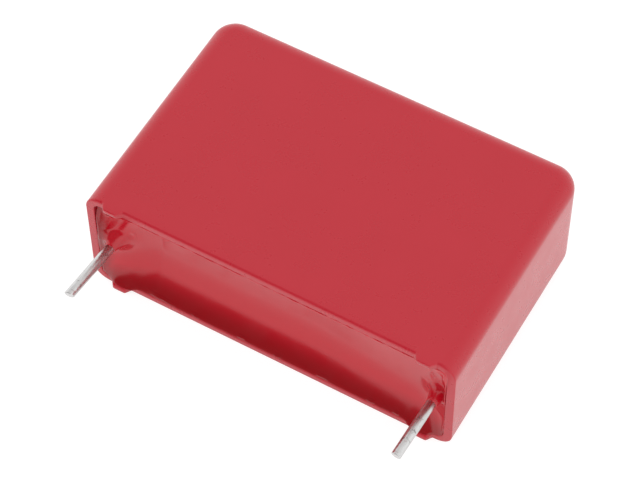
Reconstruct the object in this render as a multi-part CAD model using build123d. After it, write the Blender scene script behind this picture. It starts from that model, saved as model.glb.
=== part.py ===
from build123d import *
from math import pi, radians, sqrt, tan
import os

# Box film capacitor, lying on one of its two large faces. Millimetres.
# X runs along the lead pitch, Y from the leads (-Y) to the closed end (+Y), Z up.
# The origin is the middle of the large face that it lies on.

# Leads: round tinned wire, cut to length and pressed flat where it is cast in and welded
lead_pitch = 27.5
lead_diameter = 0.8
lead_projection = 5.0
lead_tip_chamfer = 0.08
flat_thickness = 0.56
neck_run = 0.9
weld_length = 7.0

# Moulded case: an open box whose mouth faces the leads
lead_to_end = 2.0
case_depth = 20.6
case_thickness = 10.7
wall = 0.7
closed_wall = 0.9
edge_radius = 1.4
end_corner_radius = 2.0
core_draft = 0.5
core_corner_radius = 0.8
core_floor_radius = 0.8

# Standoff feet on the rims of the two large walls
foot_height = 0.48
foot_width = 1.7
foot_slope_run = 0.28
foot_inset = 1.6
foot_round = 0.12

# Film winding and the metal sprayed on its two ends
contact_thickness = 0.45
potting_gap = 0.4
seal_thickness = 3.2

# Resin that fills the case, with a hollow face that climbs the walls and the leads
resin_recess = 0.08
resin_land = 0.06
meniscus_depth = 1.6
meniscus_slope = 50.0
meniscus_blend = 1.4
meniscus_floor_corner = 0.85
collar_radius = 1.25
collar_height = 1.75
collar_feather = 0.05
collar_sag = 0.22
collar_root = 0.4

# Places that several pieces share
case_length = lead_pitch + 2 * lead_to_end
rim_y = -case_depth / 2
middle_z = case_thickness / 2
lead_radius = lead_diameter / 2
seat_y = rim_y - foot_height
tip_y = seat_y - lead_projection
mouth_length = case_length - 2 * wall
mouth_thickness = case_thickness - 2 * wall
core_depth = case_depth - closed_wall
core_narrowing = core_depth * tan(radians(core_draft))
winding_start_y = rim_y + seal_thickness
winding_height = core_depth - seal_thickness - potting_gap
winding_thickness = mouth_thickness - 2 * core_narrowing - 2 * potting_gap
contact_face_x = lead_pitch / 2 - flat_thickness / 2
film_width = 2 * (contact_face_x - contact_thickness)
sides = {"left": -1, "right": 1}


def mouth_plane(y):
    """A plane across the case at this y, its normal pointing at the closed end."""
    return Plane(origin=(0, y, middle_z), x_dir=(1, 0, 0), z_dir=(0, 1, 0))


def outer_box():
    """The case as a full block: round closed corners, then one round edge along each large face."""
    outline = Rectangle(case_length, case_depth)
    outline = fillet(outline.vertices().group_by(Axis.Y)[-1], end_corner_radius)
    block = extrude(outline, case_thickness)
    large_faces = block.faces().filter_by(Plane.XY)
    long_edges = [edge for face in large_faces for edge in face.edges() if edge.center().Y > rim_y + wall]
    return fillet(long_edges, edge_radius)


def core():
    """What the mould's core leaves empty: a drafted block, rounded at its far end."""
    mouth = mouth_plane(rim_y) * RectangleRounded(mouth_length, mouth_thickness, core_corner_radius)
    block = extrude(mouth, core_depth, taper=core_draft)
    return fillet(block.faces().sort_by(Axis.Y)[-1].edges(), core_floor_radius)


def standoff_feet():
    """Four sloped pads, as thick as the wall, that hold the resin clear of the circuit board."""
    half_root = foot_width / 2
    half_top = half_root - foot_slope_run
    buried = wall / 2
    profile = make_face(Polyline(
        (-half_root, rim_y + buried), (-half_root, rim_y), (-half_top, seat_y),
        (half_top, seat_y), (half_root, rim_y), (half_root, rim_y + buried), close=True))
    pad = extrude(profile, wall)
    pad = fillet(pad.faces().sort_by(Axis.Y)[0].edges(), foot_round)
    foot_x = case_length / 2 - foot_inset - half_root
    places = [(side * foot_x, 0, z) for side in sides.values() for z in (0, case_thickness - wall)]
    return [Pos(*place) * pad for place in places]


def winding_outline():
    """The pressed roll seen from its end: a slot shape in a plane whose normal is X."""
    middle_y = winding_start_y + winding_height / 2
    section = Plane(origin=(0, middle_y, middle_z), x_dir=(0, 1, 0), z_dir=(1, 0, 0))
    return section * SlotOverall(winding_height, winding_thickness)


def film_winding():
    """The whole roll of metallised film, one solid."""
    return extrude(winding_outline(), film_width / 2, both=True)


def end_contact(side):
    """A layer of sprayed metal over one end of the roll."""
    return Pos(side * film_width / 2, 0, 0) * extrude(winding_outline(), side * contact_thickness)


def lead(side):
    """One wire: round from its cut tip to the resin, then pressed to a flat blade of the same section."""
    blade_y = rim_y + neck_run
    top_y = winding_start_y + weld_length
    half_flat = flat_thickness / 2
    half_chord = sqrt(lead_radius ** 2 - half_flat ** 2)
    half_blade = pi * lead_radius ** 2 / flat_thickness / 2
    wire = extrude(mouth_plane(tip_y) * Circle(lead_radius), rim_y - tip_y)
    wire = chamfer(wire.edges().filter_by(GeomType.CIRCLE).sort_by(Axis.Y)[0], lead_tip_chamfer)
    neck = Cone(lead_radius, half_flat, neck_run, align=(Align.CENTER, Align.CENTER, Align.MIN))
    blade = make_face(Plane.YZ * Polyline(
        (rim_y, middle_z - half_chord), (blade_y, middle_z - half_blade), (top_y, middle_z - half_blade),
        (top_y, middle_z + half_blade), (blade_y, middle_z + half_blade), (rim_y, middle_z + half_chord),
        close=True))
    wire += mouth_plane(rim_y) * neck
    wire += extrude(blade, half_flat, both=True)
    return Pos(side * lead_pitch / 2, 0, 0) * wire


def resin_hollow():
    """The hollow left above the cured resin: it narrows from the walls and is rounded into its floor."""
    run = meniscus_depth / tan(radians(meniscus_slope))
    top_length = mouth_length - 2 * resin_land
    top_thickness = mouth_thickness - 2 * resin_land
    top_y = rim_y + resin_recess
    top = mouth_plane(top_y) * RectangleRounded(top_length, top_thickness, meniscus_floor_corner + run)
    floor = mouth_plane(top_y + meniscus_depth) * RectangleRounded(
        top_length - 2 * run, top_thickness - 2 * run, meniscus_floor_corner)
    hollow = loft([top, floor], ruled=True)
    return fillet(hollow.faces().sort_by(Axis.Y)[-1].edges(), meniscus_blend)


def lead_collar(side):
    """Resin drawn up round one lead: a hollow-sided cone turned about the lead's axis."""
    floor_y = rim_y + resin_recess + meniscus_depth
    root_y = floor_y + collar_root
    lip_y = floor_y - collar_height
    lip_radius = lead_radius + collar_feather
    skirt = SagittaArc((collar_radius, floor_y), (lip_radius, lip_y), -collar_sag)
    rest = Polyline(
        (lip_radius, lip_y), (0, lip_y), (0, root_y), (collar_radius, root_y), (collar_radius, floor_y))
    cone = revolve(make_face([skirt, rest]), Axis.Y)
    return Pos(side * lead_pitch / 2, 0, middle_z) * cone


def resin_fill(inner_pieces):
    """Cast resin: the core's space with its hollow face and two collars, less what is cast in."""
    above_resin = mouth_plane(rim_y) * Rectangle(case_length, case_thickness)
    fill = core() - extrude(above_resin, resin_recess) - resin_hollow()
    for side in sides.values():
        fill += lead_collar(side)
    for piece in inner_pieces:
        fill -= piece
    return fill


winding = film_winding()
contacts = {name: end_contact(side) for name, side in sides.items()}
leads = {name: lead(side) for name, side in sides.items()}
case = outer_box() - core()
for foot in standoff_feet():
    case += foot

nodes = {"case": case, "film_winding": winding}
for name in sides:
    nodes["end_contact_" + name] = contacts[name]
    nodes["lead_" + name] = leads[name]
nodes["resin_fill"] = resin_fill([winding, *contacts.values(), *leads.values()])

os.makedirs("parts", exist_ok=True)
for name, solid in nodes.items():
    export_step(solid, f"parts/{name}.step")
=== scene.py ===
from functools import partial
import bmesh
import bpy
import numpy as np
from mathutils import Matrix


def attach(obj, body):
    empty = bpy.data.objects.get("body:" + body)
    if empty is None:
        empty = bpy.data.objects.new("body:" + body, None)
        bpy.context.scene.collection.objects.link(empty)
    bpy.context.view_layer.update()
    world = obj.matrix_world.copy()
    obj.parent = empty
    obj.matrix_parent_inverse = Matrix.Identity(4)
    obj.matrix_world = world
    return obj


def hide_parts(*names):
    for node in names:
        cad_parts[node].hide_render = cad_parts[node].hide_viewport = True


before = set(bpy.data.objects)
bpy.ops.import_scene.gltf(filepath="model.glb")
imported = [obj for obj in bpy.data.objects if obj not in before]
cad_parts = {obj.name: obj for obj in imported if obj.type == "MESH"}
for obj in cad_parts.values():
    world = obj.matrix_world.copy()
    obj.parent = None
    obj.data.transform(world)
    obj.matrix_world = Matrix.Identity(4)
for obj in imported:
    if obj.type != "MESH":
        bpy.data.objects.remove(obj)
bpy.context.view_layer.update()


# Case: a box moulded in one shot from filled red plastic, open towards the leads, with four standoff feet on
# its rims. The closed corners are round in plan, one round edge runs along each large face, and the core
# leaves drafted walls. All the other pieces are cast into it. Sizes are in millimetres.

case_length, case_depth, case_thickness = 31.5, 20.6, 10.7
wall, closed_wall = 0.7, 0.9
core_draft, core_floor_round = 0.0087, 0.8
edge_round, corner_round = 1.4, 2.0
rim_round, upper_rim_round, lower_rim_round = 0.06, 0.25, 0.16
mouth_round, lower_mouth_round = 0.06, 0.16
foot_height, foot_half_width, foot_slope, foot_to_end = 0.48, 0.87, 0.33, 2.45
foot_round, foot_lip, foot_softness = 0.1, 0.45, 0.025
face_sink = 0.025
rim_y, middle_z = -case_depth / 2, case_thickness / 2
core_floor_y = case_depth / 2 - closed_wall
floor_line_half = 10.0
foot_middle = case_length / 2 - foot_to_end
millimetre = 0.001


def grid_faces(rows, columns, loop=False, start=0):
    """Quads between the neighbours of a rows by columns grid; loop joins the last column to the first."""
    index = start + np.arange(rows * columns).reshape(rows, columns)
    if loop:
        index = np.hstack([index, index[:, :1]])
    corners = index[:-1, :-1], index[:-1, 1:], index[1:, 1:], index[1:, :-1]
    return np.stack(corners, axis=-1).reshape(-1, 4)


def sheet_and_rings(sheet, rings):
    """Points and faces of an open grid and of the closed rings that carry on from its edge."""
    points = np.concatenate([sheet.reshape(-1, 3), rings.reshape(-1, 3)])
    ring_faces = grid_faces(*rings.shape[:2], loop=True, start=sheet.shape[0] * sheet.shape[1])
    return points, np.concatenate([grid_faces(*sheet.shape[:2]), ring_faces])


def closed_piece(name, points, faces, sharp_degrees):
    """An object from points in millimetres: doubled points merged, faces outwards, smooth up to the sharp
    angle."""
    merge_within = 4e-7
    mesh = bpy.data.meshes.new(name)
    mesh.from_pydata(points * millimetre, [], faces.tolist())
    work = bmesh.new()
    work.from_mesh(mesh)
    bmesh.ops.remove_doubles(work, verts=work.verts, dist=merge_within)
    bmesh.ops.recalc_face_normals(work, faces=work.faces)
    work.to_mesh(mesh)
    work.free()
    mesh.shade_smooth()
    mesh.set_sharp_from_angle(angle=np.radians(sharp_degrees))
    piece = bpy.data.objects.new(name, mesh)
    bpy.context.scene.collection.objects.link(piece)
    return piece


def case_plan():
    """Plan of the side walls from the left rim round the closed end to the right rim: points and outward
    directions. A straight side, which starts behind the rim's rounded edge, a quarter circle, half of the
    straight back, then the mirror image."""
    straight_x, straight_y = case_length / 2 - corner_round, case_depth / 2 - corner_round
    turn = np.radians(np.linspace(0, 90, 15))
    side_y = np.linspace(rim_y + upper_rim_round, straight_y, 28)[:-1]
    back_x = np.linspace(-straight_x, 0, 24)[1:]
    side, back = np.ones_like(side_y), np.ones_like(back_x)
    x = np.r_[-case_length / 2 * side, -straight_x - corner_round * np.cos(turn), back_x]
    y = np.r_[side_y, straight_y + corner_round * np.sin(turn), case_depth / 2 * back]
    out_x = np.r_[-side, -np.cos(turn), 0 * back]
    out_y = np.r_[0 * side, np.sin(turn), back]
    mirrored = slice(-2, None, -1)
    return (np.r_[x, -x[mirrored]], np.r_[y, y[mirrored]],
            np.r_[out_x, -out_x[mirrored]], np.r_[out_y, out_y[mirrored]])


def wall_section():
    """Section of the outer wall from the middle of the lower face, over a quarter circle, the side and
    another quarter circle, to the middle of the upper face. For each point: share of the way to the face's
    middle line, inset from the plan, height, outward x share and outward z. It is finer near the feet."""
    flat_half, fine_from = case_length / 2 - edge_round, 12.0
    flat = np.r_[np.linspace(0, fine_from, 21)[:-1], np.linspace(fine_from, flat_half, 52)[:-1]]
    turn = np.radians(np.linspace(0, 90, 13))
    side = np.linspace(edge_round, middle_z, 7)[1:]
    share = np.r_[1 - flat / flat_half, 0 * turn, 0 * side]
    inset = np.r_[0 * flat + edge_round, edge_round * (1 - np.sin(turn)), 0 * side]
    height = np.r_[0 * flat, edge_round * (1 - np.cos(turn)), side]
    out_x = np.r_[0 * flat, np.sin(turn), 0 * side + 1]
    out_z = np.r_[0 * flat - 1, -np.cos(turn), 0 * side]
    up = slice(-2, None, -1)
    return (np.r_[share, share[up]], np.r_[inset, inset[up]], np.r_[height, case_thickness - height[up]],
            np.r_[out_x, out_x[up]], np.r_[out_z, -out_z[up]])


def case_outside():
    """The wall section carried along the plan: each plan point moves inwards by the section's inset and, on
    the flat faces, on towards a middle line. Both large faces sink a little in the middle, as thick walls
    do on cooling."""
    plan_x, plan_y, plan_out_x, plan_out_y = (values[:, None] for values in case_plan())
    share, inset, height, _, out_z = (values[None, :] for values in wall_section())
    start_y, straight_y, line_reach = rim_y + upper_rim_round, case_depth / 2 - corner_round, 0.6
    line_y = start_y + (np.minimum(plan_y, straight_y) - start_y) * line_reach
    x = (plan_x - inset * plan_out_x) * (1 - share)
    y = (plan_y - inset * plan_out_y) * (1 - share) + line_y * share
    dip = np.clip(1 - (x / (case_length / 2 - edge_round)) ** 2, 0, 1)
    dip = dip * np.clip(1 - (y / (case_depth / 2 - edge_round)) ** 2, 0, 1)
    on_face = np.where(np.abs(out_z) > 0.999, out_z, 0)
    return np.stack([x, y, height - face_sink * dip * on_face], axis=-1)


def foot_rise(x, out_z):
    """How far a foot stands out of a long rim at this place: a trapezium along x with softened shoulders."""
    ramp = (foot_half_width - np.abs(np.abs(x) - foot_middle)) / foot_slope
    ramp = 0.5 * (ramp + np.sqrt(ramp ** 2 + foot_softness))
    ramp = 1 - 0.5 * ((1 - ramp) + np.sqrt((1 - ramp) ** 2 + foot_softness))
    on_long_rim = np.abs(out_z) > 0.99
    return foot_height * np.clip(ramp, 0, 1) * on_long_rim


def middle_line(ring):
    """The line along the middle of the case's floor that a ring of points closes on."""
    line_x = np.clip(ring[:, 0], -floor_line_half, floor_line_half)
    return np.stack([line_x, ring[:, 1], np.full(len(ring), middle_z)], axis=-1)


def case_mouth(outside):
    """Rim, feet and inner walls: the rim's outline moved inwards step by step, first over the rounded outer
    edge, then across the rim, over its inner edge and down the drafted core to the floor, where it closes
    on a middle line. The outer edge is rounder along the long walls, most of all the upper one, the inner
    edge along the lower wall, and both go over to their own rounds on a foot."""
    _, _, _, out_x, out_z = wall_section()
    outline = np.concatenate([outside[0], outside[-1][-2:0:-1]])
    out_x, out_z = np.r_[-out_x, out_x[-2:0:-1]], np.r_[out_z, out_z[-2:0:-1]]
    rise = foot_rise(outline[:, 0], out_z)
    lower, upper = np.maximum(-out_z, 0) ** 3, np.maximum(out_z, 0) ** 3
    edge = rim_round + (lower_rim_round - rim_round) * lower + (upper_rim_round - rim_round) * upper
    edge = (edge + (foot_round - edge) * rise / foot_height)[None, :]
    lip = mouth_round + (lower_mouth_round - mouth_round) * lower
    lip = (lip + (foot_lip - lip) * rise / foot_height)[None, :]
    turn = np.radians(np.linspace(0, 90, 7))[:, None]
    across = edge + (wall - lip - edge) * np.linspace(0, 1, 6)[1:-1, None]
    rim_inset = np.concatenate([edge * (1 - np.cos(turn)), across, wall - lip * (1 - np.sin(turn))])
    rim_drop = np.concatenate([edge * (1 - np.sin(turn)), 0 * across, lip * (1 - np.cos(turn))])
    core_y = np.r_[rim_y + 0.1, rim_y + 1.0, core_floor_y - core_floor_round]
    core_inset = wall + core_draft * (core_y - rim_y)
    turn = np.radians(np.linspace(15, 90, 6))
    core_inset = np.r_[core_inset, core_inset[-1] + core_floor_round * (1 - np.cos(turn))]
    core_y = np.r_[core_y, core_floor_y - core_floor_round * (1 - np.sin(turn))]
    inset = np.concatenate([rim_inset, np.repeat(core_inset[:, None], rise.size, axis=1)])
    y = np.concatenate([rim_y - rise[None, :] + rim_drop, np.repeat(core_y[:, None], rise.size, axis=1)])
    x, z = outline[None, :, 0] - inset * out_x, outline[None, :, 2] - inset * out_z
    rings = np.stack([x, y, z], axis=-1)
    return np.concatenate([outline[None], rings, middle_line(rings[-1])[None]])


def feed(node, **inputs):
    """Sets a node's inputs, or links those that are given a socket. An input goes by its name, with _ for
    each space, or by i and its number where several share a name."""
    for name, value in inputs.items():
        numbered = name[0] == "i" and name[1:].isdigit()
        target = node.inputs[int(name[1:]) if numbered else name.replace("_", " ")]
        if isinstance(value, bpy.types.NodeSocket):
            node.id_data.links.new(value, target)
        else:
            target.default_value = value


def add_node(tree, kind, settings=None, **inputs):
    """One more node in a tree, with its settings made and its inputs fed."""
    node = tree.nodes.new(kind)
    for key, value in (settings or {}).items():
        setattr(node, key, value)
    feed(node, **inputs)
    return node


def new_finish(name, **constants):
    """A material with one Principled shader, whose constant inputs are set here, and a way to add nodes."""
    material = bpy.data.materials.new(name)
    material.use_nodes = True
    shader = material.node_tree.nodes["Principled BSDF"]
    feed(shader, **constants)
    return material, shader, partial(add_node, material.node_tree)


def noise(add, place, scale, detail, roughness=0.5):
    """A cloudy pattern from 0 to 1; the scale is in clouds to the metre."""
    clouds = add("ShaderNodeTexNoise", Vector=place, Scale=scale, Detail=detail, Roughness=roughness)
    return clouds.outputs["Fac"]


def remap(add, value, start, end, first, last, curve="LINEAR"):
    """A value that goes from first to last while its source goes from start to end."""
    span = add("ShaderNodeMapRange", {"interpolation_type": curve},
               i0=value, i1=start, i2=end, i3=first, i4=last)
    return span.outputs[0]


def blend(add, share, first, second):
    """A colour this share of the way from the first colour to the second."""
    return add("ShaderNodeMix", {"data_type": "RGBA"}, i0=share, i6=first, i7=second).outputs[2]


outside = case_outside()
case_shell = closed_piece("case_shell", *sheet_and_rings(outside, case_mouth(outside)), 60)

deep_red, pale_red = (0.455, 0.0048, 0.017, 1), (0.485, 0.0066, 0.0215, 1)
satin_plastic, shader, add = new_finish("satin_red_plastic",
                                        IOR=1.5, Sheen_Weight=0.12, Sheen_Roughness=0.35)
place = add("ShaderNodeTexCoord").outputs["Object"]
mottle = noise(add, place, 260.0, 4.0, 0.6)
patches = noise(add, place, 520.0, 5.0, 0.65)
spark, swell = noise(add, place, 9000.0, 3.0, 0.6), noise(add, place, 420.0, 1.0)
relief = add("ShaderNodeMath", {"operation": "MULTIPLY_ADD"}, i0=swell, i1=3.0, i2=spark)
grain = add("ShaderNodeBump", Strength=0.1, Distance=0.000012, Height=relief.outputs[0])
feed(shader, Base_Color=blend(add, mottle, deep_red, pale_red),
     Roughness=remap(add, patches, 0.3, 0.7, 0.255, 0.315), Normal=grain.outputs[0])
case_shell.data.materials.append(satin_plastic)
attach(case_shell, "root")
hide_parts("case")


# Film winding: many turns of metallised plastic film, pressed flat, with its turns showing as fine lines.
# It is wound on its own and lies in the case before the resin is poured.

film_grey, film_silver = (0.46, 0.48, 0.5, 1), (0.66, 0.67, 0.68, 1)
film, shader, add = new_finish("metallised_film", Metallic=0.75, IOR=1.6)
place = add("ShaderNodeTexCoord").outputs["Object"]
turns = add("ShaderNodeTexWave", {"wave_type": "BANDS", "bands_direction": "Z"},
            Vector=place, Scale=2600.0, Distortion=1.5, Detail=2.0).outputs["Fac"]
haze = noise(add, place, 700.0, 3.0)
layers = add("ShaderNodeBump", Strength=0.4, Distance=0.00002, Height=turns)
feed(shader, Base_Color=blend(add, turns, film_grey, film_silver),
     Roughness=remap(add, haze, 0.3, 0.7, 0.22, 0.4), Normal=layers.outputs[0])
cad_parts["film_winding"].data.materials.clear()
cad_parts["film_winding"].data.materials.append(film)


# End contacts: zinc sprayed on the two ends of the roll, rough and grainy, so that the edges of the film
# join up. The leads' blades are welded to them.

zinc_dark, zinc_pale = (0.3, 0.3, 0.31, 1), (0.52, 0.52, 0.52, 1)
zinc, shader, add = new_finish("sprayed_zinc", Metallic=0.85)
place = add("ShaderNodeTexCoord").outputs["Object"]
grains = add("ShaderNodeTexVoronoi", Vector=place, Scale=7000.0, Randomness=1.0).outputs["Distance"]
clouds = noise(add, place, 900.0, 4.0)
crust = add("ShaderNodeBump", Strength=0.8, Distance=0.00006, Height=grains)
feed(shader, Base_Color=blend(add, clouds, zinc_dark, zinc_pale),
     Roughness=remap(add, grains, 0.0, 0.7, 0.5, 0.8), Normal=crust.outputs[0])
for name in ("end_contact_left", "end_contact_right"):
    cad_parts[name].data.materials.clear()
    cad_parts[name].data.materials.append(zinc)


# Leads: round copper wire with a dull bright coat of tin, sheared off at the tip and pressed to a blade at
# the weld. Each was bent a little in handling, and cutting left nicks and a slanting end.

lead_pitch, lead_radius, lead_projection = 27.5, 0.4, 5.0
blade_half_x, blade_half_z, blade_neck, blade_end = 0.28, 0.449, 0.9, 10.2
lead_tip_y, lead_top_y = rim_y - foot_height - lead_projection, rim_y + blade_end
tip_round, tip_round_share, tip_set_back, tip_shear_run = 0.05, 0.14, 0.09, 1.2
free_length, bend_fade = 5.3, 1.9
left_tip_shift, right_tip_shift, right_root_shift = -0.42, 0.14, 0.28


def smooth_step(value, start, end):
    """0 before start, 1 after end, and a cubic curve between."""
    share = np.clip((value - start) / (end - start), 0, 1)
    return share * share * (3 - 2 * share)


def lead_surface(side, root_shift, tip_shift, shear_x, shear_z, nicks):
    """A tube about a gently bent line: circles up to the resin, then a section that goes over to a flat
    blade. Rows run from the middle of the sheared end, over its edge, up the wire and to the middle of the
    blade's end. Die marks and nicks change the radius by hundredths of a millimetre. A nick has a distance
    from the tip, a place round the wire in degrees, a length, a width in degrees and a share of the radius
    as its depth."""
    length, rim, past_rim, past_neck = lead_top_y - lead_tip_y, rim_y - lead_tip_y, 5.6, 6.6
    edge = np.radians(np.linspace(0, 90, 5))
    along = np.r_[np.linspace(tip_round, past_rim, 90)[1:], np.linspace(past_rim, past_neck, 16)[1:],
                  np.linspace(past_neck, length, 14)[1:]]
    y = np.r_[np.zeros(3), tip_round * (1 - np.cos(edge)), along, length][:, None]
    size = np.r_[0.0, 0.4, 0.75, 1 - tip_round_share * (1 - np.sin(edge)), np.ones_like(along), 0.0][:, None]
    around = np.radians(np.linspace(0, 360, 49))[None, :-1]
    blade = smooth_step(y, rim, rim + blade_neck)
    half_x = lead_radius + (blade_half_x - lead_radius) * blade
    half_z = lead_radius + (blade_half_z - lead_radius) * blade
    power = 2 / (2 + 10 * blade)
    cut_x = np.sign(np.cos(around)) * np.abs(np.cos(around)) ** power
    cut_z = np.sign(np.sin(around)) * np.abs(np.sin(around)) ** power
    die_marks = 0.006 * np.sin(7 * around + 1.3) + 0.004 * np.sin(13 * around + 0.4 + 0.3 * y)
    radius = size * (1 + die_marks)
    for nick_y, nick_turn, nick_length, nick_width, depth in nicks:
        turn = np.angle(np.exp(1j * (around - np.radians(nick_turn)))) / np.radians(nick_width)
        radius = radius - size * depth * np.exp(-((y - nick_y) / nick_length) ** 2 - turn ** 2)
    x, z = half_x * radius * cut_x, half_z * radius * cut_z
    free = np.clip((free_length - y) / free_length, -0.3, 1)
    held = smooth_step(y, free_length, free_length + bend_fade)
    shift = (root_shift + (tip_shift - root_shift) * free) * (1 - held)
    y = y + (shear_x * x + shear_z * z) * np.clip(1 - y / tip_shear_run, 0, 1)
    return np.stack([side * lead_pitch / 2 + x + shift, lead_tip_y + tip_set_back + y, middle_z + z], axis=-1)


tin_grey, tin_pale, tin_stain = (0.53, 0.525, 0.522, 1), (0.66, 0.655, 0.65, 1), (0.16, 0.145, 0.14, 1)
tin, shader, add = new_finish("tinned_wire", Metallic=1.0)
place = add("ShaderNodeTexCoord").outputs["Object"]
drawn = add("ShaderNodeMapping", Vector=place, Scale=(1.0, 0.06, 1.0)).outputs[0]
streaks = noise(add, drawn, 6500.0, 4.0, 0.65)
stains = remap(add, noise(add, place, 2200.0, 5.0, 0.7), 0.6, 0.68, 0.0, 0.75)
clean = blend(add, remap(add, streaks, 0.32, 0.68, 0.0, 1.0), tin_grey, tin_pale)
lines = add("ShaderNodeBump", Strength=0.12, Distance=0.00002, Height=streaks)
feed(shader, Base_Color=blend(add, stains, clean, tin_stain),
     Roughness=remap(add, streaks, 0.3, 0.7, 0.34, 0.22), Normal=lines.outputs[0])

left_nicks = [(0.45, 62, 0.1, 22, 0.06), (0.9, 115, 0.15, 16, 0.05),
              (1.7, 128, 0.08, 12, 0.06), (3.0, 120, 0.25, 12, 0.03)]
right_nicks = [(0.3, 85, 0.08, 26, 0.06), (0.8, 40, 0.12, 18, 0.05),
               (1.35, 70, 0.1, 16, 0.08), (2.6, 60, 0.12, 14, 0.04)]
for name, side, root_shift, tip_shift, shear_x, shear_z, nicks in (
        ("left", -1, 0.0, left_tip_shift, 0.12, -0.2, left_nicks),
        ("right", 1, right_root_shift, right_tip_shift, -0.1, -0.2, right_nicks)):
    tube = lead_surface(side, root_shift, tip_shift, shear_x, shear_z, nicks)
    wire = closed_piece("wire_" + name, tube.reshape(-1, 3), grid_faces(*tube.shape[:2], loop=True), 50)
    wire.data.materials.append(tin)
    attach(wire, "root")
    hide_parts("lead_" + name)


# Resin: red casting resin poured in last, which holds the winding and the leads and seals the mouth.
# It shrank and sank as it cured, so its glossy face is hollow: it climbs the walls, the feet and the wires.
# Below, x and z run from the middle of the mouth, and depth is measured inwards from the rim.

mouth_half_x, mouth_half_z = case_length / 2 - wall, case_thickness / 2 - wall
mouth_corner = edge_round - wall


def wall_gap(x, z, corner):
    """Distance inwards from the mouth's outline, with its corners rounded to this radius."""
    over_x = np.abs(x) - (mouth_half_x - corner)
    over_z = np.abs(z) - (mouth_half_z - corner)
    outside = np.hypot(np.maximum(over_x, 0), np.maximum(over_z, 0))
    return np.maximum(corner - outside - np.minimum(np.maximum(over_x, over_z), 0), 0)


def bump(offset, half, power=2):
    """1 where the offset is 0, falling away on both sides as exp(-(offset / half) ** power)."""
    return np.exp(-(offset / half) ** power)


def trough(x, z):
    """The main hollow. From its deepest line, below the middle, one power curve climbs part of the way to
    the upper wall and another all the way to the lower wall. Towards the right end the line sinks, the
    floor rises, both climbs get flatter and the turn at the line softens. Both ends fade out."""
    floor_depth, line_z, lower_edge_depth = 2.0, -0.55, 0.05
    upper_climb, upper_power, lower_power = 0.5, 1.8, 2
    line_drop, floor_rise, climb_loss, power_loss, most_softness = 1.2, 0.5, 0.25, 0.4, 0.8
    left_fade, left_power, right_fade, right_power, right_share = 4.6, 1.3, 3.4, 1.8, 0.4
    right = smooth_step(x, 2, 14)
    line, floor = line_z - line_drop * right, floor_depth - floor_rise * right
    softness = most_softness * right
    upper = np.maximum(z - line, 0) / (mouth_half_z - line)
    below, lower_run = line - z, mouth_half_z + line
    lower = (below + np.sqrt(below ** 2 + softness)) / (lower_run + np.sqrt(lower_run ** 2 + softness))
    depth = floor - (upper_climb - climb_loss * right) * upper ** upper_power
    depth = depth - (floor - lower_edge_depth) * lower ** (lower_power - power_loss * right)
    to_left = np.maximum(left_fade - mouth_half_x - x, 0) / left_fade
    to_right = np.maximum(x - mouth_half_x + right_fade, 0) / right_fade
    return depth * (1 - to_left ** left_power) * (1 - right_share * to_right ** right_power)


def shelf_by_right_wire(x, z, depth):
    """The hollow with a shelf laid over it below the right wire: level, then climbing to the end wall and to
    the lower wall, and blended in along its left and upper edges."""
    shelf_depth, end_climb, end_start, end_run = 1.1, 0.65, 13.6, 1.2
    lower_start, lower_share, lower_power = -2.6, 0.95, 1.1
    left_edge, upper_edge = (12.1, 14.1), (-0.1, 0.6)
    to_end = np.clip((x - end_start) / end_run, 0, 1)
    to_lower = np.clip((lower_start - z) / (lower_start + mouth_half_z), 0, 1)
    shelf = (shelf_depth - end_climb * to_end) * (1 - lower_share * to_lower ** lower_power)
    return depth + (shelf - depth) * smooth_step(x, *left_edge) * (1 - smooth_step(z, *upper_edge))


def skin_on_walls(x, z, gap, uneven):
    """Share of the depth that is left where a thin skin climbs the walls: 1 minus an exponential curve of
    the distance from the wall. Along the upper wall a ledge comes first and the fall behind it is uneven,
    except near the ends, and the upper right corner is rounder."""
    ledge, steep_run, slack_run, slack_ends, round_corner = 0.12, 0.1, 0.3, (9.5, 12), 2.0
    upper = z > 0
    from_wall = np.where((x > 0) & upper, wall_gap(x, z, round_corner), gap)
    slack = np.clip(1.3 * uneven, 0, 1) * upper * (1 - smooth_step(np.abs(x), *slack_ends))
    return 1 - np.exp(-np.maximum(from_wall - ledge * upper, 0) / (steep_run + slack_run * slack))


def climb_on_feet(x, z):
    """Height of the resin drawn up on three of the feet: flat-topped along x, exponential from the wall."""
    height, toward_middle, half_width, run = 0.45, 0.25, 1.1, 0.8
    bare_foot = (x > 0) & (z > 0)
    on_foot = bump(np.abs(x) - foot_middle + toward_middle, half_width, 4) * np.where(bare_foot, 0.0, 1)
    return height * on_foot * np.exp(-(mouth_half_z - np.abs(z)) / run)


def crease_by_left_wire(x, z):
    """A soft groove along a straight line from the upper left foot down to the left wire."""
    groove_depth, left_half, right_half, end_half = 0.26, 0.5, 0.6, 0.4
    top_x, top_z, run_x, run_z = -12.5, 4.5, -1.3, -3.2
    down = np.clip((z - top_z) / run_z, 0, 1)
    aside, beyond = x - top_x - run_x * down, z - top_z - run_z * down
    return groove_depth * bump(aside, np.where(aside < 0, left_half, right_half)) * bump(beyond, end_half)


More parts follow.
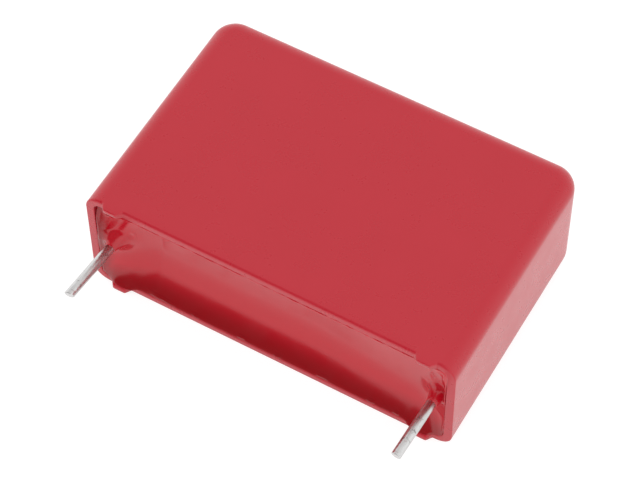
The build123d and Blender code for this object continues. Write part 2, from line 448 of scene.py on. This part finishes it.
def climb_on_wire(x, z, depth, wire_x, run, dimple_x, dimple_z):
    """The face with a cone of resin drawn up one wire, an exponential curve of the distance from it, and
    beside it a slanting dimple with a raised rim."""
    lip_depth, slant = -0.3, 0.4
    dimple_depth, dimple_half_x, dimple_half_z = 0.05, 0.17, 0.26
    rim_height, rim_place, rim_half = 0.02, 1.6, 0.5
    collar = np.exp(-np.maximum(np.hypot(x - wire_x, z) - lead_radius, 0) / run)
    aside = x - wire_x - dimple_x
    from_dimple = np.hypot(aside / dimple_half_x, (z - dimple_z + slant * aside) / dimple_half_z)
    dimple = dimple_depth * bump(from_dimple, 1)
    rim = rim_height * bump(from_dimple - rim_place, rim_half)
    return depth * (1 - collar) + lip_depth * collar + dimple - rim


def broken_seam(z, gap, uneven):
    """A narrow groove that follows the walls where the resin let go of them, with a bead beside it. The
    groove comes and goes, and both almost vanish on the lower wall."""
    seam_depth, seam_width, bead, bead_gap, bead_half = 0.2, 0.1, 0.03, 0.19, 0.07
    lower_band, lower_share = 0.5, 0.12
    groove = seam_depth * np.clip(0.4 - 1.2 * uneven, 0, 1) * np.clip(1 - gap / seam_width, 0, 1) ** 2
    left_over = np.where(z < -mouth_half_z + lower_band, lower_share, 1)
    return (groove - bead * bump(gap - bead_gap, bead_half)) * left_over


def runs_on_lower_wall(x, z, uneven):
    """Height of the flat-topped runs of resin along the lower wall, each with its middle and half length."""
    height, from_wall, half_width, waver = 0.1, 0.16, 0.1, 0.05
    places = (-9.7, 1.1), (-6.6, 0.3), (-2.5, 0.35), (0.7, 0.3), (4.6, 0.5), (8.8, 0.3), (11.0, 0.25)
    runs = sum(bump(x - run_x, run_half, 4) for run_x, run_half in places)
    return height * runs * bump(z + mouth_half_z - from_wall - waver * uneven, half_width)


def resin_depth(x, z):
    """How deep the resin's face lies below the rim: the trough and the shelf, brought up to the rim by the
    skin on the walls, then the climb on the feet, a soft edge along the walls, a hollow in the upper left
    corner, the crease, the cone on each wire, the seam, the runs and a faint swell. Crossed sine waves make
    it uneven."""
    soft_edge, soft_run = 0.03, 0.3
    corner_hollow, corner_half_x, corner_half_z = 0.5, 0.8, 1.1
    gap = wall_gap(x, z, mouth_corner)
    uneven = 0.5 * np.sin(1.7 * x + 0.6) * np.sin(0.9 * x + 2.0 + z) + 0.3 * np.sin(5.3 * x + 1.1 * z)
    depth = shelf_by_right_wire(x, z, trough(x, z)) * skin_on_walls(x, z, gap, uneven)
    depth = depth - climb_on_feet(x, z) + soft_edge * (1 + uneven) * np.exp(-gap / soft_run)
    in_corner = bump(x + mouth_half_x, corner_half_x) * bump(z - mouth_half_z, corner_half_z)
    depth = depth + corner_hollow * in_corner + crease_by_left_wire(x, z)
    left_wire_x, right_wire_x = -lead_pitch / 2, lead_pitch / 2 + right_root_shift
    depth = climb_on_wire(x, z, depth, left_wire_x, run=0.4, dimple_x=1.1, dimple_z=0.75)
    depth = climb_on_wire(x, z, depth, right_wire_x, run=0.25, dimple_x=-0.75, dimple_z=1.2)
    swell = 0.004 * np.sin(0.8 * x + 0.5 * z)
    return depth + broken_seam(z, gap, uneven) - runs_on_lower_wall(x, z, uneven) + swell


def resin_block():
    """The face as a grid of depths over the mouth's rounded outline, finer towards the ends and the walls,
    with its edge carried down the drafted walls to the floor of the case and closed on a middle line."""
    fine_x, end_band, fine_z = 11.2, 0.3, 3.7
    end_x, edge_z = mouth_half_x - end_band, mouth_half_z - fine_z
    u = np.r_[np.linspace(0, fine_x, 90)[:-1], np.linspace(fine_x, end_x, 86)[:-1],
              end_x + end_band * np.sin(np.radians(np.linspace(0, 90, 14)))] / mouth_half_x
    v = np.r_[np.linspace(0, fine_z, 60)[:-1], fine_z + edge_z * np.sin(np.radians(np.linspace(0, 90, 24)))]
    u, v = np.r_[-u[:0:-1], u], np.r_[-v[:0:-1], v]
    in_corner = np.maximum(np.abs(v) - (mouth_half_z - mouth_corner), 0)
    half_length = mouth_half_x - mouth_corner + np.sqrt(np.maximum(mouth_corner ** 2 - in_corner ** 2, 0))
    x = u[None, :] * half_length[:, None]
    z = np.repeat(v[:, None], u.size, axis=1)
    face = np.stack([x, rim_y + resin_depth(x, z), middle_z + z], axis=-1)
    edge = np.concatenate([face[0, :-1], face[:-1, -1], face[-1, :0:-1], face[:0:-1, 0]])
    round_y, floor_inset = core_floor_y - core_floor_round, 0.5
    rings = [edge]
    for level, inset in ((rim_y + 1.5, 0.0), (round_y, 0.0), (core_floor_y, floor_inset)):
        inset = inset + core_draft * (min(level, round_y) - rim_y)
        ring_x = edge[:, 0] * (1 - inset / mouth_half_x)
        ring_z = middle_z + (edge[:, 2] - middle_z) * (1 - inset / mouth_half_z)
        rings.append(np.stack([ring_x, np.full(len(edge), level), ring_z], axis=-1))
    return sheet_and_rings(face, np.stack([*rings, middle_line(rings[-1])]))


resin_face = closed_piece("resin_block", *resin_block(), 70)
corners = np.empty(3 * len(resin_face.data.vertices))
resin_face.data.vertices.foreach_get("co", corners)
corner_x, _, corner_z = corners.reshape(-1, 3).T / millimetre
# Distance from the lower wall, or the weighted distance from the left wall, whichever is less; it drives the
# painted shade along these walls in the resin's colour.
from_wall = resin_face.data.attributes.new("from_wall", "FLOAT", "POINT")
painted_shade_left_weight = 1.6
from_wall.data.foreach_set("value", np.minimum(corner_z - wall, painted_shade_left_weight * (corner_x + mouth_half_x)))

resin_red, resin_pale = (0.495, 0.003, 0.0135, 1), (0.53, 0.0042, 0.017, 1)
resin_painted_shade = (0.29, 0.002, 0.006, 1)
gloss_resin, shader, add = new_finish("glossy_red_resin", IOR=1.56)
place = add("ShaderNodeTexCoord").outputs["Object"]
colour = blend(add, noise(add, place, 330.0, 4.0, 0.6), resin_red, resin_pale)
from_wall = add("ShaderNodeAttribute", {"attribute_name": "from_wall"}).outputs["Fac"]
# Painted shade: within about 2 mm of the lower and left walls the base colour goes over to a darker red,
# standing in for the shade in the hollow along those walls.
painted_wall_shade = remap(add, from_wall, 0.3, 2.0, 1.0, 0.0, "SMOOTHSTEP")
haze = noise(add, place, 900.0, 4.0, 0.65)
ripple = add("ShaderNodeBump", Strength=0.2, Distance=0.00003, Height=noise(add, place, 800.0, 2.0))
feed(shader, Base_Color=blend(add, painted_wall_shade, colour, resin_painted_shade),
     Roughness=remap(add, haze, 0.3, 0.7, 0.15, 0.22), Normal=ripple.outputs[0])
resin_face.data.materials.append(gloss_resin)
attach(resin_face, "root")
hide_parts("resin_fill")


# Studio: a white paper sheet to lie on, an even white surround that is a little brighter near the horizon,
# and a curved flag of black cloth in front. Only reflections see the flag, which gives the gloss its dark
# side. Sizes are in metres here.

sheet_half, sheet_points, sheet_drop = 0.9, 9, 0.00003
flag_radius, flag_height, flag_columns, flag_rows = 0.45, 0.9, 14, 5
flag_left, flag_right = np.radians([-58, 28])
horizon_light, zenith_light = 1.35, 0.95
white, paper_white, paper_shade = (1, 1, 1, 1), (0.9, 0.9, 0.9, 1), (0.34, 0.34, 0.34, 1)
paper_glow = 0.8


def studio_sheet(name, points, finish):
    """An open sheet from a rows by columns grid of points."""
    mesh = bpy.data.meshes.new(name)
    mesh.from_pydata(points.reshape(-1, 3), [], grid_faces(*points.shape[:2]).tolist())
    mesh.materials.append(finish)
    sheet = bpy.data.objects.new(name, mesh)
    bpy.context.scene.collection.objects.link(sheet)
    return sheet


paper = bpy.data.materials.new("white_paper")
paper.use_nodes = True
paper.node_tree.nodes.clear()
add = partial(add_node, paper.node_tree)
ray = add("ShaderNodeLightPath").outputs
direct = add("ShaderNodeMath", {"operation": "MAXIMUM"}, i0=ray["Is Camera Ray"], i1=ray["Is Glossy Ray"])
direct = add("ShaderNodeMath", {"operation": "MAXIMUM"}, i0=direct.outputs[0], i1=ray["Is Transmission Ray"])
shaded = add("ShaderNodeBsdfDiffuse", Color=paper_shade)
glowing = add("ShaderNodeEmission", Color=white, Strength=paper_glow)
seen = add("ShaderNodeAddShader", i0=shaded.outputs[0], i1=glowing.outputs[0])
bounced = add("ShaderNodeBsdfDiffuse", Color=paper_white)
surface = add("ShaderNodeMixShader", i0=direct.outputs[0], i1=bounced.outputs[0], i2=seen.outputs[0])
add("ShaderNodeOutputMaterial", Surface=surface.outputs[0])

span = np.linspace(-sheet_half, sheet_half, sheet_points)
floor_x, floor_y = np.meshgrid(span, span)
floor_grid = np.stack([floor_x, floor_y, np.full(floor_x.shape, -sheet_drop)], axis=-1)
floor = studio_sheet("white_sheet", floor_grid, paper)

cloth, _, _ = new_finish("black_cloth",
                         Base_Color=(0.02, 0.02, 0.02, 1), Roughness=0.9, Specular_IOR_Level=0.0)
flag_turn, flag_lift = np.meshgrid(np.linspace(flag_left, flag_right, flag_columns),
                                   np.linspace(0.0, flag_height, flag_rows))
flag_grid = np.stack([flag_radius * np.sin(flag_turn), -flag_radius * np.cos(flag_turn), flag_lift], axis=-1)
flag = studio_sheet("black_flag", flag_grid, cloth)
flag.visible_camera = flag.visible_diffuse = flag.visible_shadow = False

world = bpy.data.worlds.new("white_surround")
world.use_nodes = True
add = partial(add_node, world.node_tree)
aim = add("ShaderNodeSeparateXYZ", i0=add("ShaderNodeTexCoord").outputs["Generated"])
level = remap(add, aim.outputs[2], 0.0, 1.0, horizon_light, zenith_light)
feed(world.node_tree.nodes["Background"], Color=white, Strength=level)
bpy.context.scene.world = world


# Camera: looks down on the lead end and the right side, at the picture's angle.
# It stands about 0.2 m away with a long lens, rolled a little, and shifted so that the part fills the frame.

turn, lift, roll = np.radians([30.14, 55.771, -0.463])
middle = np.array([0.0, 0.02, middle_z])
shift_right, shift_up, distance = -1.198, -1.365, 194.636
forward = np.array([-np.sin(turn) * np.cos(lift), np.cos(turn) * np.cos(lift), -np.sin(lift)])
right = np.array([np.cos(turn), np.sin(turn), 0.0])
up = np.cross(right, forward)
right, up = np.cos(roll) * right + np.sin(roll) * up, np.cos(roll) * up - np.sin(roll) * right
eye = middle + shift_right * right + shift_up * up - distance * forward
lens = bpy.data.cameras.new("view")
lens.lens, lens.sensor_width, lens.sensor_fit = 142.667, 36.0, "HORIZONTAL"
lens.clip_start, lens.clip_end = 0.01, 10.0
camera = bpy.data.objects.new("view", lens)
bpy.context.scene.collection.objects.link(camera)
pose = np.eye(4)
pose[:3, 0], pose[:3, 1], pose[:3, 2], pose[:3, 3] = right, up, -forward, eye * millimetre
camera.matrix_world = Matrix(pose.tolist())
bpy.context.scene.camera = camera
bpy.context.scene.view_settings.view_transform = "Standard"
